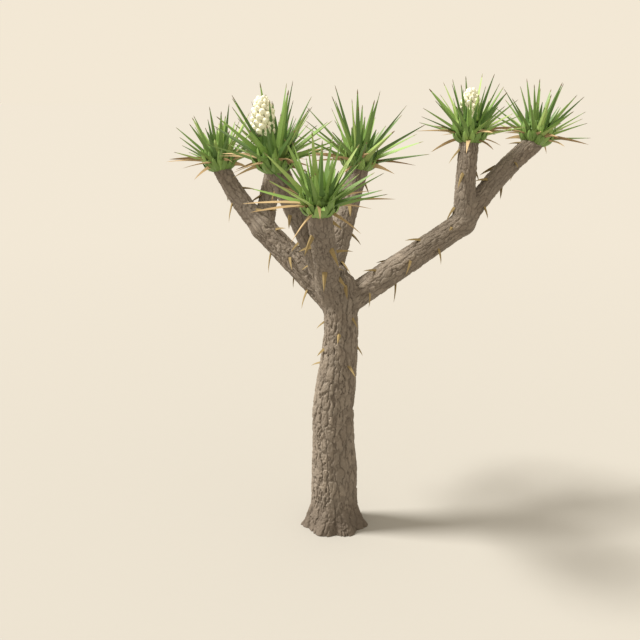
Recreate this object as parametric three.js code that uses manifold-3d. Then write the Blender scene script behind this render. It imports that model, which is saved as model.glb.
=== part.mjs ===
// Joshua tree (Yucca brevifolia): one young tree with seven rosettes, at its real size.
// Millimetres, +Z up. The origin is the centre of the flat cut under the trunk, at ground level.
// Headings are degrees anticlockwise from +X seen from above, rises are degrees above level.
import * as THREE from 'three';
import { mergeVertices } from 'three/addons/utils/BufferGeometryUtils.js';
import Module from 'manifold-3d';

const wasm = await Module();
wasm.setup();

// ---- driving dimensions -------------------------------------------------------------------

const GAP = 0.3;                 // clearance that every cut face keeps to its neighbour

// The trunk's axis and radius at its stations, from the flat cut to the rounded top.
// It stands upright on its foot, sways 10 mm towards -X by mid height, then drifts 40 mm towards +X.
const TRUNK_STATIONS = [
  { height: 0, offset: 0, radius: 220 },
  { height: 85, offset: 0, radius: 182 },
  { height: 170, offset: 0, radius: 156 },
  { height: 420, offset: 0, radius: 152 },
  { height: 680, offset: -10, radius: 144 },
  { height: 850, offset: -8, radius: 135 },
  { height: 1000, offset: 8, radius: 136 },
  { height: 1170, offset: 26, radius: 123 },
  { height: 1370, offset: 40, radius: 112 },
  { height: 1560, offset: 38, radius: 106 },
  { height: 1680, offset: 36, radius: 101 },
];
const TRUNK_TOP = 1775;
const TRUNK_SIDES = 16;

// A bough carries two stems at its fork. A stem carries one head of leaves at its tip.
// "arch" is how far the middle of the limb stands above the straight line between its ends.
const BOUGHS = [
  {
    name: 'bough_left', foot: [33, 0, 1520], heading: 156.5, rise: 42, length: 820,
    footRadius: 90, tipRadius: 82, arch: 0,
  },
  {
    name: 'bough_right', foot: [39, 0, 1545], heading: 20, rise: 29.5, length: 1078,
    footRadius: 89, tipRadius: 82, arch: 0,
  },
];
const STEMS = [
  {
    name: 'stem_left_outer', from: 'bough_left', heading: 152.5, rise: 49.5, length: 472,
    footRadius: 71, tipRadius: 60, arch: -18, head: 'left_outer',
  },
  {
    name: 'stem_left_inner', from: 'bough_left', heading: 83, rise: 38, length: 585,
    footRadius: 70, tipRadius: 58, arch: 10, head: 'left_inner',
  },
  {
    name: 'stem_fore_left', foot: [-18, -10, 1600], heading: 225, rise: 61, length: 965,
    footRadius: 76, tipRadius: 69, arch: 14, head: 'fore_left',
  },
  {
    name: 'stem_front', foot: [-36, 0, 1634], heading: 264, rise: 44.5, length: 850,
    footRadius: 82, tipRadius: 74, arch: 0, head: 'front',
  },
  {
    name: 'stem_rear', foot: [-44, 20, 1690], heading: 58, rise: 62, length: 782,
    footRadius: 79, tipRadius: 74, arch: 8, head: 'rear',
  },
  {
    name: 'stem_right_inner', from: 'bough_right', heading: 69, rise: 80.5, length: 518,
    footRadius: 73, tipRadius: 66, arch: 16, head: 'right_inner',
  },
  {
    name: 'stem_right_outer', from: 'bough_right', heading: 28, rise: 42, length: 735,
    footRadius: 71, tipRadius: 67, arch: 32, head: 'right_outer',
  },
];
const LIMB_SIDES = 12;
const LIMB_STEPS = 7;
const DOME_RINGS = 3;            // rings in the rounded end of the trunk and of each bough

// Each head is a dome of live leaves over a skirt of dry ones, round a ball of leaf feet.
const HEADS = {
  left_outer: { reach: 345, ball: 100, skirt: 345, seed: 1 },
  left_inner: { reach: 375, ball: 104, skirt: 345, seed: 2 },
  fore_left: { reach: 430, ball: 112, skirt: 330, seed: 3 },
  front: { reach: 405, ball: 108, skirt: 390, seed: 4 },
  rear: { reach: 475, ball: 110, skirt: 375, seed: 5 },
  right_inner: { reach: 388, ball: 98, skirt: 350, seed: 6 },
  right_outer: { reach: 385, ball: 98, skirt: 300, seed: 7 },
};
const HEAD_LEAN = 0.2;           // how much of its stem's slope a head keeps: 0 stands upright
const NECK_LEAN = 0.4;           // the same for the line from the stem's tip to the head's centre
const NECK = 88;                 // from the tip of the stem to the centre of the ball
const SEAT_DROP = 0.15;          // the skirt's top lies this many ball radii under the centre
const CROWN_DETAIL = 4;          // subdivisions of the dome of live leaves
const BUNCH_NOISE = 0.55;        // noise over this makes a point of the dome, under it a hollow
const POINT_REACH = [0.88, 1];   // the shortest and the longest point, as shares of the reach
const HOLLOW_REACH = [0.62, 0.72];
const DOME_OPENS = [-0.25, 0.12]; // sine of the rise where it leaves the ball, and where it is full
const SKIRT_POINTS = 9;          // points round the skirt's star
const SPOKE_REACH = [0.85, 1];   // the shortest and the longest of them, as shares of its reach

const BARK = { color: 0x82725f, roughness: 0.95, metalness: 0 };
const LIVE_LEAF = { color: 0x5d7d38, roughness: 0.6, metalness: 0 };
const DRY_LEAF = { color: 0xa1845a, roughness: 0.85, metalness: 0 };

// ---- small helpers ------------------------------------------------------------------------

// A repeatable number from 0 to 1 for two whole numbers.
function noise(index, seed) {
  const wave = Math.sin(index * 12.9898 + seed * 78.233) * 43758.5453;
  return wave - Math.floor(wave);
}

function direction(heading, rise) {
  const turn = THREE.MathUtils.degToRad(heading);
  const tilt = THREE.MathUtils.degToRad(rise);
  return new THREE.Vector3(
    Math.cos(tilt) * Math.cos(turn),
    Math.cos(tilt) * Math.sin(turn),
    Math.sin(tilt),
  );
}

// Leaves only positions in the geometry and shares the vertices of neighbouring faces.
function welded(geometry) {
  geometry.deleteAttribute('normal');
  geometry.deleteAttribute('uv');
  return mergeVertices(geometry, 1e-3);
}

function toSolid(geometry) {
  const vertProperties = new Float32Array(geometry.getAttribute('position').array);
  const triVerts = new Uint32Array(geometry.index.array);
  return new wasm.Manifold(new wasm.Mesh({ numProp: 3, vertProperties, triVerts }));
}

function toGeometry(solid) {
  const mesh = solid.getMesh();
  const geometry = new THREE.BufferGeometry();
  geometry.setAttribute('position', new THREE.BufferAttribute(mesh.vertProperties, 3));
  geometry.setIndex(new THREE.BufferAttribute(mesh.triVerts, 1));
  return geometry;
}

// The geometry less each neighbour. The neighbours are drawn GAP larger than they are.
// Crumbs of a limb's foot that a cut leaves inside the crotch are dropped.
function cutBy(geometry, neighbours) {
  let solid = toSolid(geometry);
  for (const neighbour of neighbours) solid = solid.subtract(toSolid(neighbour));
  const bodies = solid.decompose();
  bodies.sort((one, other) => other.volume() - one.volume());
  return toGeometry(bodies[0]);
}

// ---- limbs --------------------------------------------------------------------------------

// A round body along a curve. Each ring says where it is on the curve and its radius.
// "side" is a level line across the curve, and "grow" swells the body all over.
function tube(curve, rings, side, sides, grow) {
  const geometry = welded(new THREE.CylinderGeometry(1, 1, 1, sides, rings.length - 1));
  const place = geometry.getAttribute('position');
  const last = rings.length - 1;
  for (let i = 0; i < place.count; i += 1) {
    const index = Math.round((place.getY(i) + 0.5) * last);
    const ring = rings[index];
    const along = curve.getTangent(ring.at);
    const across = new THREE.Vector3().crossVectors(side, along).normalize();
    const point = curve.getPoint(ring.at);
    const endShift = index === 0 ? -grow : index === last ? grow : 0;
    point.addScaledVector(along, endShift);
    point.addScaledVector(side, place.getX(i) * (ring.radius + grow));
    point.addScaledVector(across, place.getZ(i) * (ring.radius + grow));
    place.setXYZ(i, point.x, point.y, point.z);
  }
  return geometry;
}

// The axis of a limb: a parabola from its foot to its tip, arched by the given height.
function limbCurve(limb, foot) {
  const along = direction(limb.heading, limb.rise);
  const up = direction(limb.heading, limb.rise + 90);
  const tip = foot.clone().addScaledVector(along, limb.length);
  const middle = foot.clone().lerp(tip, 0.5).addScaledVector(up, 2 * limb.arch);
  return new THREE.QuadraticBezierCurve3(foot, middle, tip);
}

// Rings of a limb that tapers evenly. A rounded end closes in over its last radius.
function limbRings(limb, rounded) {
  const rings = [];
  const dome = rounded ? limb.tipRadius / limb.length : 0;
  const radiusAt = (at) => THREE.MathUtils.lerp(limb.footRadius, limb.tipRadius, at);
  for (let step = 0; step <= LIMB_STEPS; step += 1) {
    const at = (1 - dome) * (step / LIMB_STEPS);
    rings.push({ at, radius: radiusAt(at) });
  }
  if (!rounded) return rings;
  for (let step = 1; step <= DOME_RINGS; step += 1) {
    const swing = (step / (DOME_RINGS + 0.5)) * (Math.PI / 2);
    rings.push({
      at: 1 - dome + dome * Math.sin(swing),
      radius: limb.tipRadius * Math.cos(swing),
    });
  }
  return rings;
}

function makeLimb(limb, foot, rounded) {
  const curve = limbCurve(limb, foot);
  const rings = limbRings(limb, rounded);
  const side = direction(limb.heading + 90, 0);
  const body = (grow) => tube(curve, rings, side, LIMB_SIDES, grow);
  return { name: limb.name, curve, body };
}

// The trunk keeps level rings, so that its foot is one flat cut at ground level.
function makeTrunk() {
  const stations = [...TRUNK_STATIONS];
  const shoulder = stations[stations.length - 1];
  const dome = TRUNK_TOP - shoulder.height;
  for (let step = 1; step <= DOME_RINGS; step += 1) {
    const swing = (step / (DOME_RINGS + 0.5)) * (Math.PI / 2);
    stations.push({
      height: shoulder.height + dome * Math.sin(swing),
      offset: shoulder.offset,
      radius: shoulder.radius * Math.cos(swing),
    });
  }
  const last = stations.length - 1;
  const body = (grow) => {
    const geometry = welded(new THREE.CylinderGeometry(1, 1, 1, TRUNK_SIDES, last));
    const place = geometry.getAttribute('position');
    for (let i = 0; i < place.count; i += 1) {
      const index = Math.round((place.getY(i) + 0.5) * last);
      const station = stations[index];
      const radius = station.radius + grow;
      const lift = index === last ? grow : 0;
      const x = station.offset + place.getZ(i) * radius;
      place.setXYZ(i, x, place.getX(i) * radius, station.height + lift);
    }
    return geometry;
  };
  return { name: 'trunk', body };
}

// ---- heads --------------------------------------------------------------------------------

// A head stands on the tip of its stem, leaning a little the same way.
function makeHead(stem, curve) {
  const spec = HEADS[stem.head];
  const tip = curve.getPoint(1);
  const slope = curve.getTangent(1);
  const up = new THREE.Vector3(0, 0, 1);
  const axis = up.clone().lerp(slope, HEAD_LEAN).normalize();
  const neck = up.clone().lerp(slope, NECK_LEAN).normalize();
  const centre = tip.addScaledVector(neck, NECK);
  const turn = new THREE.Quaternion().setFromUnitVectors(up, axis);
  return { name: stem.head, axis, centre, turn, ...spec };
}

// Heads that stand near each other share the space between them at the plane halfway.
// A point past that plane is drawn back to it, square to the axis of its own head.
function stayOnOwnSide(point, head, heads) {
  for (const other of heads.filter((each) => each !== head)) {
    const span = new THREE.Vector3().subVectors(other.centre, head.centre);
    const limit = span.length() / 2 - GAP;
    span.normalize();
    const back = span.clone().projectOnPlane(head.axis).normalize();
    const excess = point.clone().sub(head.centre).dot(span) - limit;
    if (excess > 0) point.addScaledVector(back, -excess / back.dot(span));
  }
}

function placeHead(geometry, head, heads) {
  const place = geometry.getAttribute('position');
  const point = new THREE.Vector3();
  for (let i = 0; i < place.count; i += 1) {
    point.fromBufferAttribute(place, i).applyQuaternion(head.turn).add(head.centre);
    stayOnOwnSide(point, head, heads);
    place.setXYZ(i, point.x, point.y, point.z);
  }
  return geometry;
}

// Live leaves: a dome with a point wherever a bunch of leaves reaches out, and hollows
// between the points. It is flat underneath, where it sits on the skirt.
function makeCrown(head, heads) {
  const geometry = welded(new THREE.IcosahedronGeometry(1, CROWN_DETAIL));
  const place = geometry.getAttribute('position');
  const seat = -SEAT_DROP * head.ball;
  const ray = new THREE.Vector3();
  for (let i = 0; i < place.count; i += 1) {
    ray.fromBufferAttribute(place, i).normalize();
    const isPoint = noise(i, head.seed) > BUNCH_NOISE;
    const range = isPoint ? POINT_REACH : HOLLOW_REACH;
    const share = THREE.MathUtils.lerp(...range, noise(i, head.seed + 20));
    const opening = THREE.MathUtils.smoothstep(ray.z, ...DOME_OPENS);
    const radius = THREE.MathUtils.lerp(head.ball, head.reach * share, opening);
    const floor = ray.z < 0 ? seat / ray.z : radius;
    ray.multiplyScalar(Math.min(radius, floor));
    place.setXYZ(i, ray.x, ray.y, ray.z);
  }
  return placeHead(geometry, head, heads);
}

// Dry leaves: a flat star under the dome, over the lower half of the ball of leaf feet.
function makeSkirt(head, heads) {
  const layers = [
    { height: -head.ball, point: 0.55 * head.ball, hollow: 0.55 * head.ball },
    { height: -0.6 * head.ball, point: head.ball, hollow: 0.9 * head.ball },
    { height: -0.3 * head.ball, point: head.skirt, hollow: 1.25 * head.ball },
    { height: -SEAT_DROP * head.ball - GAP, point: 0.9 * head.skirt, hollow: 1.2 * head.ball },
  ];
  const last = layers.length - 1;
  const sides = 2 * SKIRT_POINTS;
  const geometry = welded(new THREE.CylinderGeometry(1, 1, 1, sides, last));
  const place = geometry.getAttribute('position');
  for (let i = 0; i < place.count; i += 1) {
    const layer = layers[Math.round((place.getY(i) + 0.5) * last)];
    const spoke = Math.round((Math.atan2(place.getX(i), place.getZ(i)) / Math.PI) * SKIRT_POINTS);
    const stretch = THREE.MathUtils.lerp(...SPOKE_REACH, noise(Math.abs(spoke), head.seed));
    const radius = spoke % 2 === 0 ? stretch * layer.point : layer.hollow;
    place.setXYZ(i, place.getZ(i) * radius, place.getX(i) * radius, layer.height);
  }
  return placeHead(geometry, head, heads);
}

// ---- the tree -----------------------------------------------------------------------------

function addMesh(group, name, geometry, finish) {
  geometry.computeVertexNormals();
  const mesh = new THREE.Mesh(geometry, new THREE.MeshStandardMaterial(finish));
  mesh.name = name;
  group.add(mesh);
}

function makeWood(group) {
  const trunk = makeTrunk();
  addMesh(group, trunk.name, trunk.body(0), BARK);
  const done = [trunk];
  const curves = {};
  for (const limb of [...BOUGHS, ...STEMS]) {
    const bough = BOUGHS.find((each) => each.name === limb.from);
    const foot = bough
      ? curves[bough.name].getPoint(1 - bough.tipRadius / bough.length)
      : new THREE.Vector3(...limb.foot);
    const made = makeLimb(limb, foot, !limb.head);
    curves[limb.name] = made.curve;
    addMesh(group, made.name, cutBy(made.body(0), done.map((each) => each.body(GAP))), BARK);
    done.push(made);
  }
  return { curves, limbs: done };
}

function makeLeaves(group, curves, limbs) {
  const heads = STEMS.map((stem) => makeHead(stem, curves[stem.name]));
  const wood = limbs.map((limb) => limb.body(GAP));
  for (const head of heads) {
    addMesh(group, `leaves_${head.name}`, cutBy(makeCrown(head, heads), wood), LIVE_LEAF);
    addMesh(group, `dry_skirt_${head.name}`, cutBy(makeSkirt(head, heads), wood), DRY_LEAF);
  }
}

const tree = new THREE.Group();
const { curves, limbs } = makeWood(tree);
makeLeaves(tree, curves, limbs);

export default tree;
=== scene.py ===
"""The looks of a Joshua tree: bark, live leaves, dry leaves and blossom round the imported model.

Lengths are metres and +Z is up. The limbs' axes and the heads' places and sizes are read from
the nodes of the frame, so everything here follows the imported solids.
"""

import math

import bmesh
import bpy
import numpy as np
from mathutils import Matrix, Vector


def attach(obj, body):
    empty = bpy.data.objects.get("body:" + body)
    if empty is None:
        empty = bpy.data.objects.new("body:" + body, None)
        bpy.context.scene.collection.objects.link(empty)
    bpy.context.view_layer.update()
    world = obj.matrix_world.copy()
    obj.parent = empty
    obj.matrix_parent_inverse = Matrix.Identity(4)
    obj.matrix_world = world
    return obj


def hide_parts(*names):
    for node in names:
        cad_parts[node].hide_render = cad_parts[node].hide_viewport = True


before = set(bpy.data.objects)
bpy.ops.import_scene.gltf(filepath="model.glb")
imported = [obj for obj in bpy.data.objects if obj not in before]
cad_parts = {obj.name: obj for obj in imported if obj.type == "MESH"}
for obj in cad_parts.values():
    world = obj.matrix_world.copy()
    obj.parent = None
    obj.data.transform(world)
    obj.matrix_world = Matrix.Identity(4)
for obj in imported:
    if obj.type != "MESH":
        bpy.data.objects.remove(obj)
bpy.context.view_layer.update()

UP = np.array([0.0, 0.0, 1.0])
NUDGE = 0.01  # keeps a cross product from vanishing
GOLDEN_TURN = math.pi * (3 - math.sqrt(5))
FAR = 9.0  # stands for a distance not measured

# Which limb each limb grows from.
PARENTS = {
    "bough_left": "trunk",
    "bough_right": "trunk",
    "stem_left_outer": "bough_left",
    "stem_left_inner": "bough_left",
    "stem_fore_left": "trunk",
    "stem_front": "trunk",
    "stem_rear": "trunk",
    "stem_right_inner": "bough_right",
    "stem_right_outer": "bough_right",
}
STEMS = [name for name in PARENTS if name.startswith("stem_")]

# A head leans a little the way its stem does.
NECK = 0.088  # from the stem's tip to the ball's centre
NECK_LEAN, HEAD_LEAN = 0.4, 0.2


# ---- vectors and noise ----


def unit(vectors):
    """The vectors at length one."""
    return vectors / np.maximum(np.linalg.norm(vectors, axis=-1, keepdims=True), 1e-12)


def smooth(low, high, value):
    """A soft step from 0 at low to 1 at high."""
    share = np.clip((value - low) / (high - low), 0, 1)
    return share * share * (3 - 2 * share)


KEY_PRIMES = (73856093, 19349663, 83492791, 49979687)
MIXERS = ((15, 2246822519), (13, 3266489917))  # shifts and odd factors
WORD, LAST_STEP = 0xFFFFFFFF, 0xFFFFFF


def scatter(*keys):
    """A repeatable number from 0 to 1 for each set of whole numbers."""
    mixed = 0
    for key, prime in zip(keys, KEY_PRIMES):
        mixed = mixed ^ ((np.asarray(key).astype(np.int64) * prime) & WORD)
    for shift, factor in MIXERS:
        mixed = ((mixed ^ (mixed >> shift)) * factor) & WORD
    return ((mixed ^ (mixed >> 16)) & LAST_STEP) / float(LAST_STEP)


def soft_noise(points, seed):
    """Smooth noise from -1 to 1 with features one unit wide."""
    cell = np.floor(points).astype(np.int64)
    share = smooth(0, 1, points - cell)
    total = np.zeros(len(points))
    for corner in np.ndindex(2, 2, 2):
        weight = np.ones(len(points))
        for axis, step in enumerate(corner):
            weight *= share[:, axis] if step else 1 - share[:, axis]
        total += weight * scatter(*(cell + corner).T, seed)
    return 2 * total - 1


CELL_MARGIN = 0.12  # a plate's middle stays this far inside its cell
SQUARENESS = 3  # 2 would make round plates


def cracks(along, around, cells_round, seed):
    """A skin of plates that wraps round after cells_round of them.

    Returns the distance to the nearest crack in cells, how far that crack runs along the limb
    (0 for one straight across, 1 for one straight along), and a shade for each plate.
    """
    row = np.floor(along).astype(np.int64)
    column = np.floor(around).astype(np.int64)
    shape = len(along)
    nearest, second = np.full(shape, FAR), np.full(shape, FAR)
    near_place, second_place = np.zeros((shape, 2)), np.zeros((shape, 2))
    shade = np.zeros(shape)
    inner = 1 - 2 * CELL_MARGIN
    for step_row, step_column in np.ndindex(3, 3):
        this_row = row + step_row - 1
        this_column = column + step_column - 1
        wrapped = this_column % cells_round
        centre_along = this_row + CELL_MARGIN + inner * scatter(this_row, wrapped, seed)
        centre_around = this_column + CELL_MARGIN + inner * scatter(this_row, wrapped, seed + 1)
        place = np.stack([centre_along, centre_around], axis=1)
        gap = np.abs(place - np.stack([along, around], axis=1))
        distance = (gap**SQUARENESS).sum(axis=1) ** (1 / SQUARENESS)
        closer = distance < nearest
        middling = ~closer & (distance < second)
        second = np.where(closer, nearest, np.where(middling, distance, second))
        second_place = np.where(closer[:, None], near_place, second_place)
        second_place = np.where(middling[:, None], place, second_place)
        near_place = np.where(closer[:, None], place, near_place)
        nearest = np.where(closer, distance, nearest)
        shade = np.where(closer, scatter(this_row, wrapped, seed + 2), shade)
    apart = np.abs(second_place - near_place)
    return second - nearest, apart[:, 1] / apart.sum(axis=1), shade


# ---- meshes and pieces ----

CREASE = math.radians(24)  # edges sharper than this stay crisp
CORNERS = 4  # of a blade's cross-section


def read(items, field, size=3, kind=np.float32):
    """One field of all the items of a mesh, as an array."""
    values = np.empty(len(items) * size, kind)
    items.foreach_get(field, values)
    return values.reshape(-1, size)


def new_object(name, data):
    made = bpy.data.objects.new(name, data)
    bpy.context.scene.collection.objects.link(made)
    return made


def mesh_object(name, points, faces):
    """A new object from an array of points and a list of faces."""
    mesh = bpy.data.meshes.new(name)
    mesh.from_pydata(points.tolist(), [], faces)
    return new_object(name, mesh)


def finish_piece(piece, slot, *nodes):
    """Says what a piece rides on and stands for; its slot is not used."""
    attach(piece, "root")
    if nodes:
        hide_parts(*nodes)


def band(start, sides):
    """The faces between two rings of points, the first from number start on."""
    faces = []
    for k in range(sides):
        after = (k + 1) % sides
        faces.append([start + k, start + after, start + after + sides, start + k + sides])
    return faces


def blades(path, across, width, keel, top):
    """Closed four-cornered blades along paths that end in a point.

    path and across are blades x stations x 3, width and keel are blades x stations. keel is how
    deep the lower ridge is, and top is how high the middle of the upper face stands, as a share
    of it: less than nothing makes a channel.
    """
    count, stations = path.shape[:2]
    tangent = unit(np.gradient(path, axis=1))
    across = unit(across - (across * tangent).sum(axis=2, keepdims=True) * tangent)
    upward = np.cross(tangent, across)
    half = width[..., None] / 2 * across
    drop = keel[..., None] * upward
    ring = np.stack([path - half, path - drop, path + half, path + drop * top], axis=2)
    body = ring[:, :-1].reshape(count, -1, 3)
    points = np.concatenate([body, path[:, -1:]], axis=1).reshape(-1, 3)
    faces = []
    size = CORNERS * (stations - 1) + 1
    for first in range(0, count * size, size):
        faces.append([first + k for k in reversed(range(CORNERS))])
        for station in range(stations - 2):
            faces += band(first + CORNERS * station, CORNERS)
        low = first + CORNERS * (stations - 2)
        tip = first + size - 1
        faces += [[low + k, low + (k + 1) % CORNERS, tip] for k in range(CORNERS)]
    return points, faces


class Heap:
    """Closed forms that are gathered into one piece."""

    def __init__(self):
        self.points = []
        self.faces = []
        self.count = 0

    def add(self, points, faces):
        self.faces += [[self.count + corner for corner in face] for face in faces]
        self.points.append(points)
        self.count += len(points)

    def add_blades(self, path, across, width, form):
        """A form is the keel as a share of the width, and the top as blades takes it."""
        keel, top = form
        if len(path):
            self.add(*blades(path, across, width, width * keel, top))

    def make_object(self, name):
        return mesh_object(name, np.vstack(self.points), self.faces)

    def make_piece(self, name, slot, material, nodes=()):
        piece = self.make_object(name)
        piece.data.shade_smooth()
        piece.data.set_sharp_from_angle(angle=CREASE)
        piece.data.materials.append(material)
        finish_piece(piece, slot, *nodes)


def deal_out(measures, form, heaps, shares, rng):
    """Shares blades out at random to the heaps of their tints."""
    tint_of = rng.choice(len(shares), len(measures[0]), p=list(shares.values()))
    for number, tint in enumerate(shares):
        mine = tint_of == number
        heaps[tint].add_blades(*(values[mine] for values in measures), form)


def make_tints(heaps, start, slot, colours, kind, nodes):
    """A piece from the heap of each tint."""
    for tint, heap in heaps.items():
        name = start + "_" + tint
        heap.make_piece(name, slot, surface(name, colours[tint], kind), nodes)


def curve_through(start, bend, end, shares):
    """Quadratic curves from start towards bend and on to end, for each blade."""
    t = shares[None, :, None]
    return start[:, None] * (1 - t) ** 2 + bend[:, None] * 2 * t * (1 - t) + end[:, None] * t**2


def steady(values, stations):
    """The same value of each blade at every station."""
    return np.repeat(values[:, None], len(stations), axis=1)


# ---- reading the frame ----

# Stations on the axes, and how far inside the ends the first and last slices lie.
TRUNK_STATIONS, TRUNK_ENDS = 60, (0.001, 0.012)
LIMB_STATIONS, LIMB_ENDS = 24, (0.02, 0.03)
BELOW_GROUND = 0.05  # the trunk's axis runs on this far
SLICES = 40  # that are tried along a limb
FULL_SLICE = 0.9  # slices under this share of the usual radius are cut
CLEAR_OF_CUT = 0.02  # slices this near a cut one are left out
RUN_BACK, BACK_STEPS = 0.4, 81  # where the foot of a limb's axis is looked for


def node_mesh(name):
    """Points and edges of a node of the frame."""
    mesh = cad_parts[name].data
    return read(mesh.vertices, "co").astype(float), read(mesh.edges, "vertices", 2, np.int32)


def section(points, edges, origin, normal):
    """Centre and mean radius of the slice of a convex body by a plane, or None if it misses."""
    side = (points - origin) @ normal
    start, end = side[edges[:, 0]], side[edges[:, 1]]
    crossed = (start < 0) != (end < 0)
    if crossed.sum() < 3:
        return None
    start, end = start[crossed], end[crossed]
    share = (start / (start - end))[:, None]
    cut = points[edges[crossed, 0]] * (1 - share) + points[edges[crossed, 1]] * share
    across = unit(np.cross(normal, UP + NUDGE))
    other = np.cross(normal, across)
    flat = np.stack([(cut - origin) @ across, (cut - origin) @ other], axis=1)
    middle = flat.mean(axis=0)
    order = np.argsort(np.arctan2(*(flat - middle).T))
    x, y = flat[order].T
    lune = x * np.roll(y, -1) - np.roll(x, -1) * y
    area = lune.sum() / 2
    centre_x = ((x + np.roll(x, -1)) * lune).sum() / (6 * area)
    centre_y = ((y + np.roll(y, -1)) * lune).sum() / (6 * area)
    centre = origin + centre_x * across + centre_y * other
    return centre, math.sqrt(abs(area) / math.pi)


class Limb:
    """A limb's axis and radius at its stations, with a frame that never twists."""

    def __init__(self, name, centre, radius):
        self.name = name
        self.kind = name.split("_")[0]
        self.centre = centre
        self.radius = radius
        steps = np.linalg.norm(np.diff(centre, axis=0), axis=1)
        self.along = np.append(0, np.cumsum(steps))
        self.tangent = unit(np.gradient(centre, axis=0))
        level = unit(np.cross(UP, self.tangent[-1] + [2 * NUDGE, 0, 0]))
        self.side = unit(level - (self.tangent @ level)[:, None] * self.tangent)
        self.up = np.cross(self.tangent, self.side)

    def at(self, distance):
        """Point, radius, tangent, side and up of the axis at a distance from the foot."""
        values = []
        for array in (self.centre, self.radius[:, None], self.tangent, self.side, self.up):
            columns = [np.interp(distance, self.along, column) for column in array.T]
            values.append(np.stack(columns, axis=-1))
        point, radius, tangent, side, up = values
        return point, radius[..., 0], tangent, side, up


def read_trunk():
    """The trunk, through level slices from the ground to its rounded top."""
    points, edges = node_mesh("trunk")
    low, high = TRUNK_ENDS
    heights = np.linspace(low, points[:, 2].max() - high, TRUNK_STATIONS)
    found = [section(points, edges, np.array([0, 0, height]), UP) for height in heights]
    centre, radius = (np.array(values) for values in zip(*found))
    centre = np.vstack([centre[0] - BELOW_GROUND * UP, centre])
    return Limb("trunk", centre, np.append(radius[0], radius))


def whole_slices(points, edges, middle, axis, reach):
    """Place along the axis, centre and radius of each slice that no neighbour cuts."""
    low, high = LIMB_ENDS
    spans = np.linspace(reach.min() + low, reach.max() - high, SLICES)
    found = [(span, section(points, edges, middle + span * axis, axis)) for span in spans]
    found = [(span, *slice_) for span, slice_ in found if slice_]
    least = FULL_SLICE * np.median([radius for _, _, radius in found])
    whole = [item for item in found if item[2] > least]
    first = whole[0][0]
    for one, other in zip(found, found[1:]):
        if one[2] <= least < other[2] and one[0] < 0:
            first = other[0] + CLEAR_OF_CUT
    return [item for item in whole if item[0] > first]


def on_curve(curve, spans):
    """Points of a curve, from the coefficients of each coordinate."""
    return np.stack([np.polyval(column, spans) for column in curve.T], axis=1)


def read_limb(name, parent):
    """A parabola and an even taper through a limb's whole slices, run back into the parent."""
    points, edges = node_mesh(name)
    middle = points.mean(axis=0)
    axis = np.linalg.svd(points - middle)[2][0]
    axis *= np.sign(axis[2])
    reach = (points - middle) @ axis
    span, centres, radii = zip(*whole_slices(points, edges, middle, axis, reach))
    curve = np.polyfit(span, np.array(centres), 2)
    taper = np.polyfit(span, np.array(radii), 1)
    back = np.linspace(span[0] - RUN_BACK, span[0], BACK_STEPS)
    gaps = np.linalg.norm(on_curve(curve, back)[:, None] - parent.centre[None], axis=2)
    foot = back[np.argmin(gaps.min(axis=1))]
    tip = reach.max()
    if name.startswith("bough"):
        tip -= np.polyval(taper, tip)
    stations = np.linspace(foot, tip, LIMB_STATIONS)
    radius = np.polyval(taper, np.maximum(stations, span[0]))
    return Limb(name, on_curve(curve, stations), radius)


def read_limbs():
    limbs = {"trunk": read_trunk()}
    for name, parent in PARENTS.items():
        limbs[name] = read_limb(name, limbs[parent])
    return limbs


class Head:
    """Centre, axis, reach and ball of a head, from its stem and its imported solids."""

    def __init__(self, stem):
        self.name = stem.name.removeprefix("stem_")
        slope = stem.tangent[-1]
        self.axis = unit(UP * (1 - HEAD_LEAN) + slope * HEAD_LEAN)
        self.centre = stem.centre[-1] + NECK * unit(UP * (1 - NECK_LEAN) + slope * NECK_LEAN)
        crown = node_mesh("leaves_" + self.name)[0] - self.centre
        skirt = node_mesh("dry_skirt_" + self.name)[0] - self.centre
        self.reach = np.linalg.norm(crown, axis=1).max()
        self.skirt = np.linalg.norm(skirt, axis=1).max()
        self.ball = -(skirt @ self.axis).min()
        self.east = unit(np.cross([0.0, 1.0, 0.0], self.axis))
        self.north = np.cross(self.axis, self.east)

    def ray(self, turn, rise):
        """The direction at a turn round the axis and a rise above the head's own level."""
        turn = np.asarray(turn)[..., None]
        rise = np.asarray(rise)[..., None]
        level = np.cos(turn) * self.east + np.sin(turn) * self.north
        return np.cos(rise) * level + np.sin(rise) * self.axis

    def point(self, turn, rise, balls):
        """A point that way from the centre, at a distance in radii of the ball."""
        return self.centre + self.ball * balls * self.ray(turn, rise)


# ---- wood: one skin over all limbs ----

VOXEL = 0.0046  # side of the grid that joins the limbs
TUBE_SIDES, TUBE_STEP = 40, 0.016
TIP_RISES = np.radians([0, 30, 60, 80])  # of the rings at a limb's tip
CROTCH_BLEND = 0.010  # how softly one limb flows into the next
NEAR = 0.12  # a limb matters to points this near
SETTLE_GAPS = (-0.08, 0.2)  # least and greatest gap to a limb that counts
SWELL = 0.035  # share of the radius that a limb swells and narrows
SWELL_LENGTH, SWELL_ROUND = 0.22, 1.1
FLARE_HEIGHT = 0.24
FLARE_LOBES, FLARE_LOBE = 7, 0.075  # how many, and how far they stand out by the radius
FLARE_SWAY, FLARE_RATE = 1.3, 1.7  # how the lobes stray from even spacing


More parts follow.
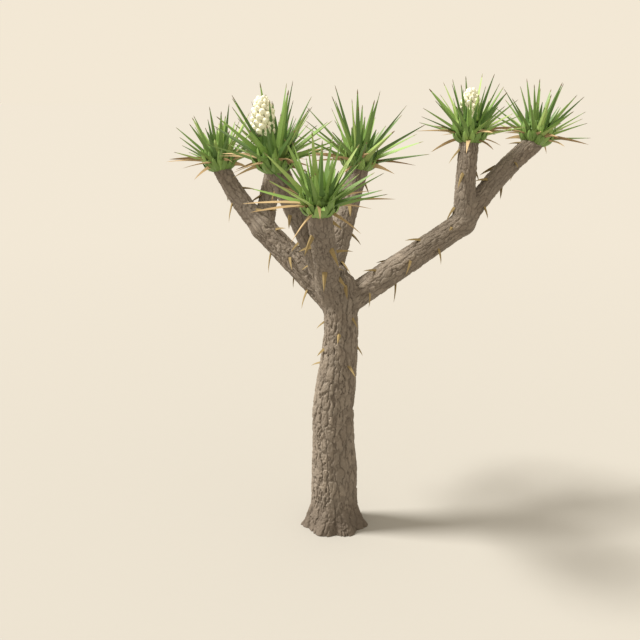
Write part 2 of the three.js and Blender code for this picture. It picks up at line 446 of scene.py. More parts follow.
def limb_tube(limb):
    """A closed tube round a limb with a domed tip, as points and faces."""
    along = np.arange(0, limb.along[-1], TUBE_STEP)
    rise = np.append(np.zeros(len(along)), TIP_RISES)[:, None]
    along = np.append(along, np.full(len(TIP_RISES), limb.along[-1]))
    centre, radius, tangent, side, up = limb.at(along)
    centre = centre + tangent * radius[:, None] * np.sin(rise)
    radius = radius[:, None] * np.cos(rise)
    angle = np.linspace(0, math.tau, TUBE_SIDES, endpoint=False)[None, :, None]
    ring = np.cos(angle) * side[:, None] + np.sin(angle) * up[:, None]
    points = (centre[:, None] + ring * radius[:, None]).reshape(-1, 3)
    last = (len(centre) - 1) * TUBE_SIDES
    faces = [list(range(TUBE_SIDES))[::-1]]
    for start in range(0, last, TUBE_SIDES):
        faces += band(start, TUBE_SIDES)
    faces.append([last + k for k in range(TUBE_SIDES)])
    return points, faces


def joined_tubes():
    """All limbs in one mesh, made one skin by a voxel remesh."""
    tubes = Heap()
    for limb in limbs.values():
        tubes.add(*limb_tube(limb))
    rough = tubes.make_object("rough_wood")
    remesh = rough.modifiers.new("join", "REMESH")
    remesh.mode = "VOXEL"
    remesh.voxel_size = VOXEL
    evaluated = rough.evaluated_get(bpy.context.evaluated_depsgraph_get())
    skin = bpy.data.meshes.new_from_object(evaluated)
    bpy.data.objects.remove(rough)
    return skin


def place_on(limb, points):
    """Where points lie on a limb: distance to its skin, way outward, place along and round."""
    to_station = points @ limb.centre.T * -2 + (limb.centre**2).sum(axis=1)
    nearest = to_station.argmin(axis=1)
    step = ((points - limb.centre[nearest]) * limb.tangent[nearest]).sum(axis=1)
    along = np.clip(limb.along[nearest] + step, 0, limb.along[-1])
    centre, radius, tangent, side, up = limb.at(along)
    offset = points - centre
    angle = np.arctan2((offset * up).sum(axis=1), (offset * side).sum(axis=1))
    around = np.stack([np.cos(angle), np.sin(angle)], axis=1)
    swell_place = np.column_stack([around * SWELL_ROUND, along / SWELL_LENGTH])
    radius = radius * (1 + SWELL * soft_noise(swell_place, list(limbs).index(limb.name)))
    if limb.name == "trunk":
        foot = 1 - smooth(0, FLARE_HEIGHT, points[:, 2])
        sway = FLARE_SWAY * soft_noise(swell_place * FLARE_RATE, 40)
        radius = radius * (1 + FLARE_LOBE * foot * np.cos(FLARE_LOBES * angle + sway))
    distance = np.linalg.norm(offset, axis=1)
    return distance - radius, offset / np.maximum(distance, 1e-9)[:, None], along, angle


def near_limb(limb, points, margin=NEAR):
    """Which points lie near a limb's box."""
    room = limb.radius.max() + margin
    low = limb.centre.min(axis=0) - room
    high = limb.centre.max(axis=0) + room
    return np.flatnonzero(((points > low) & (points < high)).all(axis=1))


def settle_on_limbs(points, rounds=3, step=0.02):
    """Moves the skin onto a soft union of the limbs, which fills their crotches."""
    for _ in range(rounds):
        total = np.zeros(len(points))
        pull = np.zeros((len(points), 3))
        for limb in limbs.values():
            index = near_limb(limb, points)
            gap, outward, _, _ = place_on(limb, points[index])
            weight = np.exp(-np.clip(gap, *SETTLE_GAPS) / CROTCH_BLEND)
            total[index] += weight
            pull[index] += weight[:, None] * outward
        gap = -CROTCH_BLEND * np.log(np.maximum(total, 1e-9))
        points = points - np.clip(gap, -step, step)[:, None] * unit(pull)
    return points


# ---- bark ----

# Plates of bark on each kind of limb: width, length, depth of the furrows, and lightness, which is
# partly the bark's own tone, partly painted shade on the stems and painted light on the boughs.
PLATES = {
    "trunk": (0.046, 0.100, 0.0130, 0.88),
    "bough": (0.036, 0.066, 0.0080, 1.05),
    "stem": (0.031, 0.050, 0.0065, 0.74),
}
FEWEST_PLATES = 9  # round a limb
WANDER_SIZE, WANDER_ALONG = 0.16, 3  # of bends in the plates' rows and columns
ROW_WANDER, COLUMN_WANDER = 0.30, 0.5  # in plates
FURROW_LIP, FURROW_SHARE = 0.03, 0.36  # where a furrow's sides slope
CROSS_DEPTH = 0.35  # depth of a crack across the limb, as a share of one along it
FINE_ROWS, FINE_COLUMNS = 3, 2  # small plates in each plate
FINE_SHARE, FINE_CROSS = 0.28, 0.4  # as FURROW_SHARE and CROSS_DEPTH
FINE_DEPTH, FINE_DARK = 0.28, 0.4  # of a fine crack, as shares of a furrow's; its darkness is partly painted shade
FINE_SHADE = 0.35  # share of the small plates in the shade
PLATE_STEP = 0.0034  # how much one plate stands above another
PITS, PIT_RATE = 0.0016, 11  # depth and fineness of the pits


def furrows(rows, columns, cells, seed, lip, share, cross):
    """Depth of the furrows from 0 to 1, and shade of the plates."""
    crack, lengthwise, shade = cracks(rows, columns, cells, seed)
    return (1 - smooth(lip, share, crack)) * (cross + (1 - cross) * lengthwise), shade


def bark_on(limb, along, angle):
    """Relief, furrow depth and plate shade of a limb's bark at places along and round it."""
    width, length, depth, lightness_and_shade = PLATES[limb.kind]
    seed = 100 + 7 * list(limbs).index(limb.name)
    girth = math.tau * np.median(limb.radius)
    cells = max(FEWEST_PLATES, round(girth / width))
    spread = [np.cos(angle) * girth, np.sin(angle) * girth, along * WANDER_ALONG]
    place = np.column_stack(spread) / WANDER_SIZE
    wander = soft_noise(place * [1.4, 1.4, 0.9], seed + 2) + 0.4 * soft_noise(place * 3.1, seed + 6)
    rows = along / length + ROW_WANDER * soft_noise(place * 2.1, seed + 1)
    columns = angle / math.tau * cells + COLUMN_WANDER * wander
    furrow, shade = furrows(rows, columns, cells, seed, FURROW_LIP, FURROW_SHARE, CROSS_DEPTH)
    rows, columns, cells = rows * FINE_ROWS, columns * FINE_COLUMNS, cells * FINE_COLUMNS
    fine_furrow, fine_shade = furrows(rows, columns, cells, seed + 3, 0.0, FINE_SHARE, FINE_CROSS)
    fine_furrow = fine_furrow * (1 - furrow)
    relief = -depth * furrow - FINE_DEPTH * depth * fine_furrow
    relief = relief + PLATE_STEP * (shade - 0.5) * (1 - furrow)
    relief = relief + PITS * soft_noise(place * PIT_RATE, seed + 4)
    # the kind's lightness paints shade on the stems and light on the boughs, over the plates' own tone
    shade = lightness_and_shade * ((1 - FINE_SHADE) * shade + FINE_SHADE * fine_shade)
    # how dark furrows and fine cracks are painted: partly their own colour, partly painted shade
    return relief, np.clip(furrow + FINE_DARK * fine_furrow, 0, 1), shade


BARK_BLEND = CROTCH_BLEND * 0.6  # how softly one bark gives way to another
BARK_NEAR, BARK_GAPS = 0.03, (-0.06, 0.2)  # as NEAR and SETTLE_GAPS
LEAST_WEIGHT = 1e-12
GRAIN_ALONG = 0.3  # how fast the fibres change along a limb


def dress_in_bark(points):
    """Pushes the skin out and in by the limbs' bark, which is mixed where they meet."""
    total = np.zeros((len(points), 1))
    sums = np.zeros((len(points), 9))
    for limb in limbs.values():
        index = near_limb(limb, points, BARK_NEAR)
        gap, way, along, angle = place_on(limb, points[index])
        weight = np.exp(-np.clip(gap, *BARK_GAPS) / BARK_BLEND)[:, None] + LEAST_WEIGHT
        radius = np.median(limb.radius)
        grain = [radius * np.cos(angle), radius * np.sin(angle), along * GRAIN_ALONG]
        total[index] += weight
        sums[index] += weight * np.column_stack([way, *bark_on(limb, along, angle), *grain])
    relief, furrow, shade, *grain = (sums[:, 3:] / total).T
    return points + relief[:, None] * unit(sums[:, :3]), furrow, shade, np.array(grain).T


def cut_level(mesh):
    """Cuts the wood off flat at the ground and closes the cut."""
    grid = bmesh.new()
    grid.from_mesh(mesh)
    everything = grid.verts[:] + grid.edges[:] + grid.faces[:]
    cut = bmesh.ops.bisect_plane(
        grid, geom=everything, dist=1e-5, plane_co=(0, 0, 0), plane_no=(0, 0, 1), clear_inner=True
    )
    rim = [item for item in cut["geom_cut"] if isinstance(item, bmesh.types.BMEdge)]
    bmesh.ops.triangle_fill(grid, edges=rim, use_beauty=True)
    grid.to_mesh(mesh)
    grid.free()


def store(mesh, name, values, kind="FLOAT"):
    """Keeps a number or a vector at each point of a mesh for its material."""
    attribute = mesh.attributes.new(name, kind, "POINT")
    field = "value" if kind == "FLOAT" else "vector"
    attribute.data.foreach_set(field, np.ascontiguousarray(values, np.float32).ravel())


BARK_PIECES = {
    "bark_trunk": ["trunk"],
    "bark_left": ["bough_left", "stem_left_outer", "stem_left_inner", "stem_rear"],
    "bark_middle": ["stem_fore_left", "stem_front"],
    "bark_right": ["bough_right", "stem_right_inner", "stem_right_outer"],
}
FOOT_HIDDEN = 0.08  # a limb's skin starts this far along it


def owners(points):
    """The number of the limb on whose skin each point lies."""
    gaps = np.full((len(limbs), len(points)), FAR)
    for row, limb in enumerate(limbs.values()):
        index = near_limb(limb, points)
        gap, _, along, _ = place_on(limb, points[index])
        hidden = (along < FOOT_HIDDEN) & (limb.name != "trunk")
        gaps[row, index] = np.where(hidden, FAR, gap)
    return gaps.argmin(axis=0)


def without_faces(mesh, name, drop):
    """A copy of a mesh that lacks some of its faces."""
    part = mesh.copy()
    part.name = name
    grid = bmesh.new()
    grid.from_mesh(part)
    grid.faces.ensure_lookup_table()
    bmesh.ops.delete(grid, geom=[grid.faces[k] for k in np.flatnonzero(drop)], context="FACES")
    grid.to_mesh(part)
    grid.free()
    return part


def keep_shading(part):
    """Gives a part of the skin the normals of the whole skin, so that no seam shows."""
    part.shade_smooth()
    normals = read(part.attributes["skin_normal"].data, "vector")
    part.normals_split_custom_set_from_vertices(normals.tolist())
    part.attributes.remove(part.attributes["skin_normal"])


def split_wood(mesh, material):
    """Shares the skin out to pieces by the limb that each face lies on."""
    store(mesh, "skin_normal", read(mesh.vertices, "normal"), "FLOAT_VECTOR")
    owner = owners(read(mesh.polygons, "center").astype(float))
    for name, members in BARK_PIECES.items():
        rows = [list(limbs).index(member) for member in members]
        part = without_faces(mesh, name, ~np.isin(owner, rows))
        keep_shading(part)
        part.materials.append(material)
        finish_piece(new_object(name, part), "bark", *members)


def make_wood():
    """The skin over all limbs with its bark, in four pieces."""
    mesh = joined_tubes()
    points = settle_on_limbs(read(mesh.vertices, "co").astype(float))
    points, furrow, shade, grain = dress_in_bark(points)
    mesh.vertices.foreach_set("co", points.astype(np.float32).ravel())
    # how dark the furrows are painted, partly as painted shade
    store(mesh, "furrow", furrow)
    store(mesh, "plate_shade", shade)
    store(mesh, "grain_place", grain, "FLOAT_VECTOR")
    cut_level(mesh)
    mesh.update()
    split_wood(mesh, bark_material())


# ---- live leaves ----

# Leaves of a head by age: how many, lowest and highest rise in degrees, shortest and longest as
# a share of the head's reach, and width as a share of LEAF_WIDTH.
AGES = {
    "grown": (28, 3, 85, 0.89, 1.04, 1.0),
    "young": (6, 48, 86, 0.56, 0.80, 0.80),
    "bud": (11, 42, 84, 0.42, 0.60, 0.92),
}
LEAF_STATIONS = np.array([0, 0.05, 0.10, 0.16, 0.23, 0.33, 0.48, 0.66, 0.84, 0.95, 1])
RISE_SWAY, TURN_SWAY = 0.035, 0.08  # how far a leaf strays from even spacing
HIGHEST_RISE = math.radians(89)
LOW_LEAF = 0.95  # length of a level leaf, as a share of an upright one
LEAF_LAG = math.radians(38)  # how much lower a level leaf starts than it points
BEND_LAG = 0.28  # share of the lag that is left at the bend
LEAF_START, LEAF_BEND = 0.66, 1.22  # in radii of the ball
LEAF_ROLL = 0.42  # how far leaves roll off level
LEAF_WIDTH, LEAF_TAPER = 0.046, 0.62
LEAF_FORM = (0.42, -0.12)
CLASP, CLASP_PLACE, CLASP_LENGTH = 0.50, 0.08, 0.10  # how much wider the foot is, and where
LEAF_TINTS = {
    "deep": (0.095, 0.180, 0.042),
    "mid": (0.160, 0.270, 0.064),
    "fresh": (0.235, 0.375, 0.095),
    "yellow": (0.335, 0.450, 0.140),
}
TINT_SHARES = {"deep": 0.28, "mid": 0.30, "fresh": 0.27, "yellow": 0.15}

# A leaf ends in a brown spine, a little larger than the leaf in it.
SPINE_STATIONS = np.array([0.945, 0.965, 0.985, 1.0])
SPINE_LONGER, SPINE_WIDER, SPINE_SKIN = 1.01, 1.1, 0.0004
SPINE_FORM = (0.4, 0.1)
SPINE_COLOUR = (0.180, 0.130, 0.065)


def across_leaf(head, turn, rise, roll):
    """The way a leaf's width runs at each station, where roll is blades x stations."""
    level = head.ray(turn + math.pi / 2, np.zeros(len(turn)))
    lift = head.ray(turn, rise + math.pi / 2)
    return np.cos(roll)[..., None] * level[:, None] + np.sin(roll)[..., None] * lift[:, None]


def leaf_measures(head, turn, rise, length, roll, broadest, shares):
    """Path, way across and width of leaves at shares of their length.

    They grow from inside the ball, low on it, over its shoulder and straight out. Each has a
    wider clasping foot, and then a taper that stays full to well past the middle.
    """
    lag = LEAF_LAG * np.cos(rise) ** 0.5
    start = head.point(turn, rise - lag, LEAF_START)
    bend = head.point(turn, rise - lag * BEND_LAG, LEAF_BEND)
    end = head.centre + length[:, None] * head.ray(turn, rise)
    across = across_leaf(head, turn, rise, steady(roll, shares))
    foot = CLASP * np.exp(-(((shares - CLASP_PLACE) / CLASP_LENGTH) ** 2))
    width = broadest[:, None] * (1 - shares) ** LEAF_TAPER * (1 + foot)
    return curve_through(start, bend, end, shares), across, width


# Leaves stand this far aside from a panicle, and long ones part as far from its open side,
# which is given as a turn and a rise.
PANICLE_ROOM = math.radians(21)
OPEN_SIDES = {"fore_left": (-100, 56), "right_inner": (-92, 56)}
OPEN_ROOM = math.radians(23)
LONG_LEAF = 0.65  # from this share of the head's reach on


def stand_aside(head, turn, rise, middle, room):
    """Turns directions away from a middle one until they are at least some way off it."""
    way = head.ray(turn, rise)
    along = (way @ middle)[:, None]
    aside = math.cos(room) * middle + math.sin(room) * unit(way - along * middle)
    way = np.where(along > math.cos(room), aside, way)
    return np.arctan2(way @ head.north, way @ head.east), np.arcsin(way @ head.axis)


def part_leaves(head, turn, rise, length):
    """Moves the leaves that would grow through a panicle, or hide its open side."""
    lift, height, _, aside = PANICLES[head.name]
    panicle = unit((lift + height / 2) * head.axis + aside * head.east)
    turn, rise = stand_aside(head, turn, rise, panicle, PANICLE_ROOM)
    open_side = head.ray(*np.radians(OPEN_SIDES[head.name]))
    parted_turn, parted_rise = stand_aside(head, turn, rise, open_side, OPEN_ROOM)
    long = length > LONG_LEAF * head.reach
    return np.where(long, parted_turn, turn), np.where(long, parted_rise, rise)


def spread_leaves(head, rng):
    """Turn, rise, length and width of the leaves of a head, age by age."""
    ages = []
    for count, low, high, shortest, longest, width in AGES.values():
        order = (np.arange(count) + 0.5) / count
        low, high = math.sin(math.radians(low)), math.sin(math.radians(high))
        rise = np.arcsin(low + (high - low) * order) + rng.normal(0, RISE_SWAY, count)
        rise = np.minimum(rise, HIGHEST_RISE)
        longer = LOW_LEAF + (1 - LOW_LEAF) * np.sin(rise)
        length = head.reach * longer * rng.uniform(shortest, longest, count)
        ages.append((rise, length, LEAF_WIDTH * width * rng.uniform(0.86, 1.14, count)))
    rise, length, width = (np.concatenate(values) for values in zip(*ages))
    turn = np.arange(len(rise)) * GOLDEN_TURN + rng.normal(0, TURN_SWAY, len(rise))
    if head.name in PANICLES:
        turn, rise = part_leaves(head, turn, rise, length)
    return turn, rise, length, width


def grow_leaves(head, rng, heaps, spines):
    """The live leaves of a head, each in one of the tints, and the spines at their tips."""
    turn, rise, length, broadest = spread_leaves(head, rng)
    roll = rng.normal(0, LEAF_ROLL, len(turn))
    leaves = leaf_measures(head, turn, rise, length, roll, broadest, LEAF_STATIONS)
    deal_out(leaves, LEAF_FORM, heaps, TINT_SHARES, rng)
    length = length * SPINE_LONGER
    path, across, width = leaf_measures(head, turn, rise, length, roll, broadest, SPINE_STATIONS)
    spines.add_blades(path, across, width * SPINE_WIDER + SPINE_SKIN, SPINE_FORM)


# Layers of short broad feet, over the ball and over its heart. Rings: how many, lowest and
# highest rise of the tips in degrees, and nearest and furthest tip in balls. Then the places
# where feet start and bend, in degrees and balls, and whether these rise with the tips; how far
# feet stray round the head and roll; and their width.
BALL_FEET = (
    ((13, -16, 0, 1.04, 1.20), (13, 12, 32, 1.10, 1.34)),
    ((-80, 0.88), (-36, 1.28), False),
    (0.09, None),
    0.060,
)
HEART_FEET = (
    ((9, 22, 36, 0.84, 1.02), (8, 40, 54, 0.84, 1.02), (5, 60, 72, 0.84, 1.02)),
    ((-70, 0.50), (-30, 0.80), True),
    (0.1, 0.15),
    0.050,
)
BALL_SHARES = {"mid": 0.6, "fresh": 0.4}
FOOT_TAPER = 0.42
FOOT_FORM = (0.2, -0.3)


def lay_feet(head, layer, rng):
    """Paths, ways across and widths of the feet in each ring of a layer."""
    rings, (*route, rising), (sway, rolling), broadest = layer
    for count, low, high, near, far in rings:
        turn = np.arange(count) * math.tau / count + rng.uniform(0, math.tau)
        turn = turn + rng.normal(0, sway, count)
        rise = np.radians(rng.uniform(low, high, count))
        places = [head.point(turn, rising * rise + math.radians(up), balls) for up, balls in route]
        end = head.point(turn, rise, rng.uniform(near, far, count)[:, None])
        roll = rng.normal(0, rolling, count) if rolling else np.zeros(count)
        across = across_leaf(head, turn, rise, steady(roll, LEAF_STATIONS))
        taper = broadest * (1 - LEAF_STATIONS) ** FOOT_TAPER
        width = taper * rng.uniform(0.9, 1.1, count)[:, None]
        yield curve_through(*places, end, LEAF_STATIONS), across, width


def make_live_leaves():
    rng = np.random.default_rng(11)
    heaps = {tint: Heap() for tint in LEAF_TINTS}
    spines = Heap()
    for head in heads:
        grow_leaves(head, rng, heaps, spines)
        for feet in lay_feet(head, BALL_FEET, rng):
            deal_out(feet, FOOT_FORM, heaps, BALL_SHARES, rng)
    nodes = ["leaves_" + head.name for head in heads]
    make_tints(heaps, "live_leaves", "live_leaf", LEAF_TINTS, "waxy", nodes)
    spines.make_piece("leaf_spines", "live_leaf", surface("spine", SPINE_COLOUR, "papery"))


HEART_RADIUS = 0.76  # share of the ball
HEART_DROP = 0.20  # how far below the ball's middle it sits, as a share too


def make_hearts():
    """The green heart of each head, where the feet of its leaves close up."""
    rng = np.random.default_rng(71)
    grid = bmesh.new()
    bmesh.ops.create_icosphere(grid, subdivisions=3, radius=HEART_RADIUS)
    points = np.array([vertex.co for vertex in grid.verts])
    faces = [[vertex.index for vertex in face.verts] for face in grid.faces]
    grid.free()
    heap = Heap()
    for head in heads:
        heap.add(head.centre + head.ball * (points - HEART_DROP * head.axis), faces)
        for feet in lay_feet(head, HEART_FEET, rng):
            heap.add_blades(*feet, FOOT_FORM)
    heap.make_piece("leaf_hearts", "live_leaf", surface("leaf_heart", LEAF_TINTS["mid"], "waxy"))


# ---- dry leaves ----

# Dry leaves of a head: how many, lowest and highest rise in degrees, and shortest and longest as
# a share of the skirt's reach.
DRY_KINDS = {"level": (7, -9, 4, 1.00, 1.20), "hanging": (4, -34, -16, 0.66, 0.92)}
DRY_STATIONS = np.array([0, 0.1, 0.22, 0.4, 0.6, 0.8, 0.93, 1])
DRY_START, DRY_LAG = 0.8, 0.25  # they start at this many balls, and this much lower
DRY_BEND, DRY_ARCH = 0.45, 0.09  # they bend at this share of the reach, and up to this higher
DRY_SWAY, DRY_DRIFT, DRY_TWIST, DRY_ROLL = 0.1, 0.08, 0.8, 0.6
DRY_WIDTH, DRY_TAPER = 0.044, 0.8
DRY_FORM = (0.32, 0.0)
DRY_TINTS = {
    "straw": (0.465, 0.340, 0.185),
    "tan": (0.390, 0.275, 0.140),
    "brown": (0.280, 0.185, 0.095),
}
DRY_SHARES = {"straw": 0.42, "tan": 0.40, "brown": 0.18}


def grow_dry_leaves(head, rng, heaps):
    """Dead leaves under a head, long level ones and shorter drooping ones, with a slow twist."""
    kinds = []
    for count, low, high, shortest, longest in DRY_KINDS.values():
        rise = np.radians(rng.uniform(low, high, count))
        kinds.append((rise, head.skirt * rng.uniform(shortest, longest, count)))
    rise, length = (np.concatenate(values) for values in zip(*kinds))
    count = len(rise)
    turn = np.arange(count) * GOLDEN_TURN + rng.uniform(0, math.tau)
    turn = turn + rng.normal(0, DRY_SWAY, count)
    arch = rng.uniform(0.0, DRY_ARCH, count)
    drift = rng.normal(0, DRY_DRIFT, count)
    start = head.point(turn, rise - DRY_LAG, DRY_START)
    bend = head.centre + head.skirt * DRY_BEND * head.ray(turn, rise + arch)
    end = head.centre + length[:, None] * head.ray(turn + drift, rise)
    path = curve_through(start, bend, end, DRY_STATIONS)
    twist = DRY_STATIONS * rng.normal(0, DRY_TWIST, count)[:, None]
    across = across_leaf(head, turn, rise, rng.normal(0, DRY_ROLL, count)[:, None] + twist)
    taper = DRY_WIDTH * (1 - DRY_STATIONS) ** DRY_TAPER
    width = taper * rng.uniform(0.8, 1.1, count)[:, None]
    deal_out((path, across, width), DRY_FORM, heaps, DRY_SHARES, rng)


def make_dry_leaves():
    rng = np.random.default_rng(23)
    heaps = {tint: Heap() for tint in DRY_TINTS}
    for head in heads:
        grow_dry_leaves(head, rng, heaps)
    nodes = ["dry_skirt_" + head.name for head in heads]
    make_tints(heaps, "dry_leaves", "dry_leaf", DRY_TINTS, "papery", nodes)


# ---- stumps of old leaves ----

# Stubs of each kind of limb: the way from one to the next, and how short and long they are.
STUBS = {
    "trunk": (0.040, 0.055, 0.095),
    "bough": (0.070, 0.065, 0.130),
    "stem": (0.070, 0.065, 0.130),
}
STUB_STATIONS = np.array([0, 0.15, 0.4, 0.7, 1])
TRUNK_STUBS_FROM = 1.12  # height of the lowest stub on the trunk
FOOT_FREE, TIP_FREE = 0.1, 0.06  # no stubs this near a limb's foot and tip
STUB_SHIFT, STUB_SWAY = 0.015, 0.2  # how far stubs stray, along and round
STUB_ROOT = 0.012  # how deep a stub starts in the bark
STUB_TILTS = (0.25, 0.95)  # least and greatest, from straight out
STUB_DROOP = 0.22  # of its tip, as a share of its length
STUB_WIDTH, STUB_TAPER = 0.032, 0.8
STUB_FORM = (0.42, 0.3)
STUB_COLOUR = (0.270, 0.200, 0.090)
CLEAR_OF_LIMB, CLEAR_OF_BALL = 0.012, 1.15  # the second in radii of the ball


def stub_places(limb, rng):
    """Where stubs stand on a limb's skin, and the ways outward and along."""
    first = FOOT_FREE
    if limb.name == "trunk":
        first = np.interp(TRUNK_STUBS_FROM, limb.centre[:, 2], limb.along)
    along = np.arange(first, limb.along[-1] - TIP_FREE, STUBS[limb.kind][0])
    count = len(along)
    along = along + rng.uniform(-STUB_SHIFT, STUB_SHIFT, count)
    angle = np.arange(count) * GOLDEN_TURN + rng.uniform(0, math.tau)
    angle = angle + rng.normal(0, STUB_SWAY, count)
    centre, radius, tangent, side, up = limb.at(along)
    outward = np.cos(angle)[:, None] * side + np.sin(angle)[:, None] * up
    return centre + outward * radius[:, None], outward, tangent


def stands_clear(limb, feet):
    """Which feet lie outside every other limb and every head."""
    clear = np.ones(len(feet), bool)
    for other in limbs.values():
        if other is not limb:
            clear &= place_on(other, feet)[0] > CLEAR_OF_LIMB
    for head in heads:
        clear &= np.linalg.norm(feet - head.centre, axis=1) > head.ball * CLEAR_OF_BALL
    return clear


def grow_stubs(limb, rng, heap):
    """Short stiff stumps that stand out from a limb and droop a little."""
    feet, outward, tangent = stub_places(limb, rng)
    count = len(feet)
    down = unit(-tangent * 0.6 - UP * 0.4)
    tilt = rng.uniform(*STUB_TILTS, count)[:, None]
    way = unit(np.cos(tilt) * outward + np.sin(tilt) * down)
    size = rng.uniform(*STUBS[limb.kind][1:], count)[:, None]
    end = feet + size * unit(way + STUB_DROOP * down)
    path = curve_through(feet - way * STUB_ROOT, feet + way * size / 2, end, STUB_STATIONS)
    across = steady(np.cross(way, tangent), STUB_STATIONS)
    taper = STUB_WIDTH * (1 - STUB_STATIONS) ** STUB_TAPER
    width = taper * rng.uniform(0.75, 1.15, count)[:, None]
    clear = stands_clear(limb, feet)
    heap.add_blades(path[clear], across[clear], width[clear], STUB_FORM)


def make_stubs():
    rng = np.random.default_rng(37)
    heap = Heap()
    for limb in limbs.values():
        grow_stubs(limb, rng, heap)
    heap.make_piece("leaf_stubs", "dry_leaf", surface("stub", STUB_COLOUR, "papery"))


# ---- blossom ----

# Each panicle's foot above the middle of its head, height, girth and place aside.
PANICLES = {"fore_left": (0.086, 0.208, 0.070, -0.040), "right_inner": (0.026, 0.192, 0.060, -0.005)}
FLOWER_SPACING = 0.0034  # height of panicle for each flower
LOWEST_FLOWER, FLOWERS_COVER = 0.03, 0.92  # its height, and the share of the whole they cover
FEET_REACH = 0.55  # from the main stalk to the flowers' feet, by the girth
FLOWER_RISES = (8, 50)  # of the lowest, and how much more the top ones rise
FLOWER_SIZE = 0.044
TEPALS = 6
TEPAL_STATIONS = np.array([0, 0.25, 0.5, 0.75, 0.93, 1])
TEPAL_FORM = (0.16, -0.5)
ROUND_FORM = (0.5, 1.0)  # as deep as it is wide

# Shares of a flower's size.
TEPAL_WIDTH, TEPAL_LENGTH = 0.66, 1.08
TEPAL_OUT, TEPAL_AWAY = 0.50, 0.82  # where a tepal bends, outward and aside
MOUTH = 0.09
PISTIL_WIDTH, PISTIL_LENGTH = 0.42, 1.04
BUD_WIDTH, BUD_LENGTH = 0.80, 0.95

BUD_RISE = math.radians(30)
AXIS_WIDTH, STALK_WIDTH = 0.020, 0.0075  # of the main stalk, and of a flower's own
STALK_DROP, STALK_INSIDE = 0.012, 0.004  # how much lower it starts, and its end in the flower
STALK_COLOUR = (0.50, 0.54, 0.28)
PETAL_COLOUR = (0.86, 0.84, 0.66)


def rounded(share, low=0.16, power=0.7):
    """A round profile that starts and ends open, over shares from 0 to 1."""
    return np.sin(math.pi * (low + 0.80 * share)) ** power


def add_rods(heap, start, bend, end, across, width):
    """Straight forms as deep as they are wide."""
    path = curve_through(start, bend, end, TEPAL_STATIONS)
    heap.add_blades(path, steady(across, TEPAL_STATIONS), width, ROUND_FORM)


class Panicle:
    """Bell flowers in a spiral round an upright stalk, smaller towards its tip."""

    def __init__(self, head, rng):
        lift, height, girth, aside = PANICLES[head.name]
        lowest, more = FLOWER_RISES
        self.head = head
        foot = head.centre + lift * head.axis + aside * head.east
        self.tip = foot + height * head.axis
        self.count = round(height / FLOWER_SPACING)
        share = (np.arange(self.count) + 0.5) / self.count
        self.turn = np.arange(self.count) * GOLDEN_TURN
        self.out = head.ray(self.turn, np.radians(lowest + more * share**2))
        share = share[:, None]
        self.on_stalk = foot + (LOWEST_FLOWER + FLOWERS_COVER * height * share) * head.axis
        self.reach = FEET_REACH * girth * rounded(share)
        self.base = self.on_stalk + self.reach * self.out
        self.size = FLOWER_SIZE * (1 - 0.35 * share) * rng.uniform(0.9, 1.1, share.shape)
        self.mouth = MOUTH * (1 - 0.6 * share) * rng.uniform(0.4, 1.1, share.shape)
        self.first = unit(np.cross(self.out, head.axis + NUDGE))
        self.second = np.cross(self.out, self.first)

    def add_tepals(self, flowers):
        """Tepals that bulge and close in again, so that each flower is a globe."""
        width = self.size * TEPAL_WIDTH * rounded(TEPAL_STATIONS)
        for tepal in range(TEPALS):
            spin = (math.tau * tepal / TEPALS + self.turn)[:, None]
            away = np.cos(spin) * self.first + np.sin(spin) * self.second
            away_at_bend = (TEPAL_AWAY + self.mouth) * away
            bend = self.base + self.size * (TEPAL_OUT * self.out + away_at_bend)
            end = self.base + self.size * (TEPAL_LENGTH * self.out + self.mouth * away)
            path = curve_through(self.base, bend, end, TEPAL_STATIONS)
            across = steady(np.cross(self.out, away), TEPAL_STATIONS)
            flowers.add_blades(path, across, width, TEPAL_FORM)

    def add_pistils(self, flowers):
        """A blunt pistil that fills the mouth of each flower."""
        end = self.base + PISTIL_LENGTH * self.size * self.out
        width = self.size * PISTIL_WIDTH * (1 - 0.4 * TEPAL_STATIONS)
        add_rods(flowers, self.base, (self.base + end) / 2, end, self.first, width)

    def add_buds(self, flowers):
        """A closed bud in the gap above each flower."""
        out = self.head.ray(self.turn + math.pi * (1 + 1 / TEPALS), BUD_RISE)
        start = self.on_stalk + 0.5 * self.reach * out
        end = start + (BUD_LENGTH * self.size + 0.45 * self.reach) * out
        width = self.size * BUD_WIDTH * rounded(TEPAL_STATIONS, 0.12, 0.6)
        add_rods(flowers, start, (start + end) / 2, end, self.first, width)

    def add_stalks(self, stalks):
        """The main stalk from the heart of the head, and one to each flower."""
        foot, tip = self.head.centre[None], self.tip[None]
        width = AXIS_WIDTH * (1.1 - TEPAL_STATIONS[None])
        add_rods(stalks, foot, (foot + tip) / 2, tip, self.head.east[None], width)
        start = self.on_stalk - STALK_DROP * self.head.axis
        end = self.base + STALK_INSIDE * self.out
        width = np.repeat(STALK_WIDTH * (1.3 - TEPAL_STATIONS[None]), self.count, axis=0)
        add_rods(stalks, start, (start + self.base) / 2, end, self.first, width)


def make_blossom():
    rng = np.random.default_rng(53)
    flowers, stalks = Heap(), Heap()
    for head in heads:
        if head.name in PANICLES:
            panicle = Panicle(head, rng)
            panicle.add_tepals(flowers)
            panicle.add_pistils(flowers)
            panicle.add_buds(flowers)
            panicle.add_stalks(stalks)
    flowers.make_piece("blossom_flowers", "blossom", surface("petal", PETAL_COLOUR, "petal"))
    stalks.make_piece("blossom_stalks", "blossom", surface("blossom_stalk", STALK_COLOUR, "waxy"))


# ---- materials ----


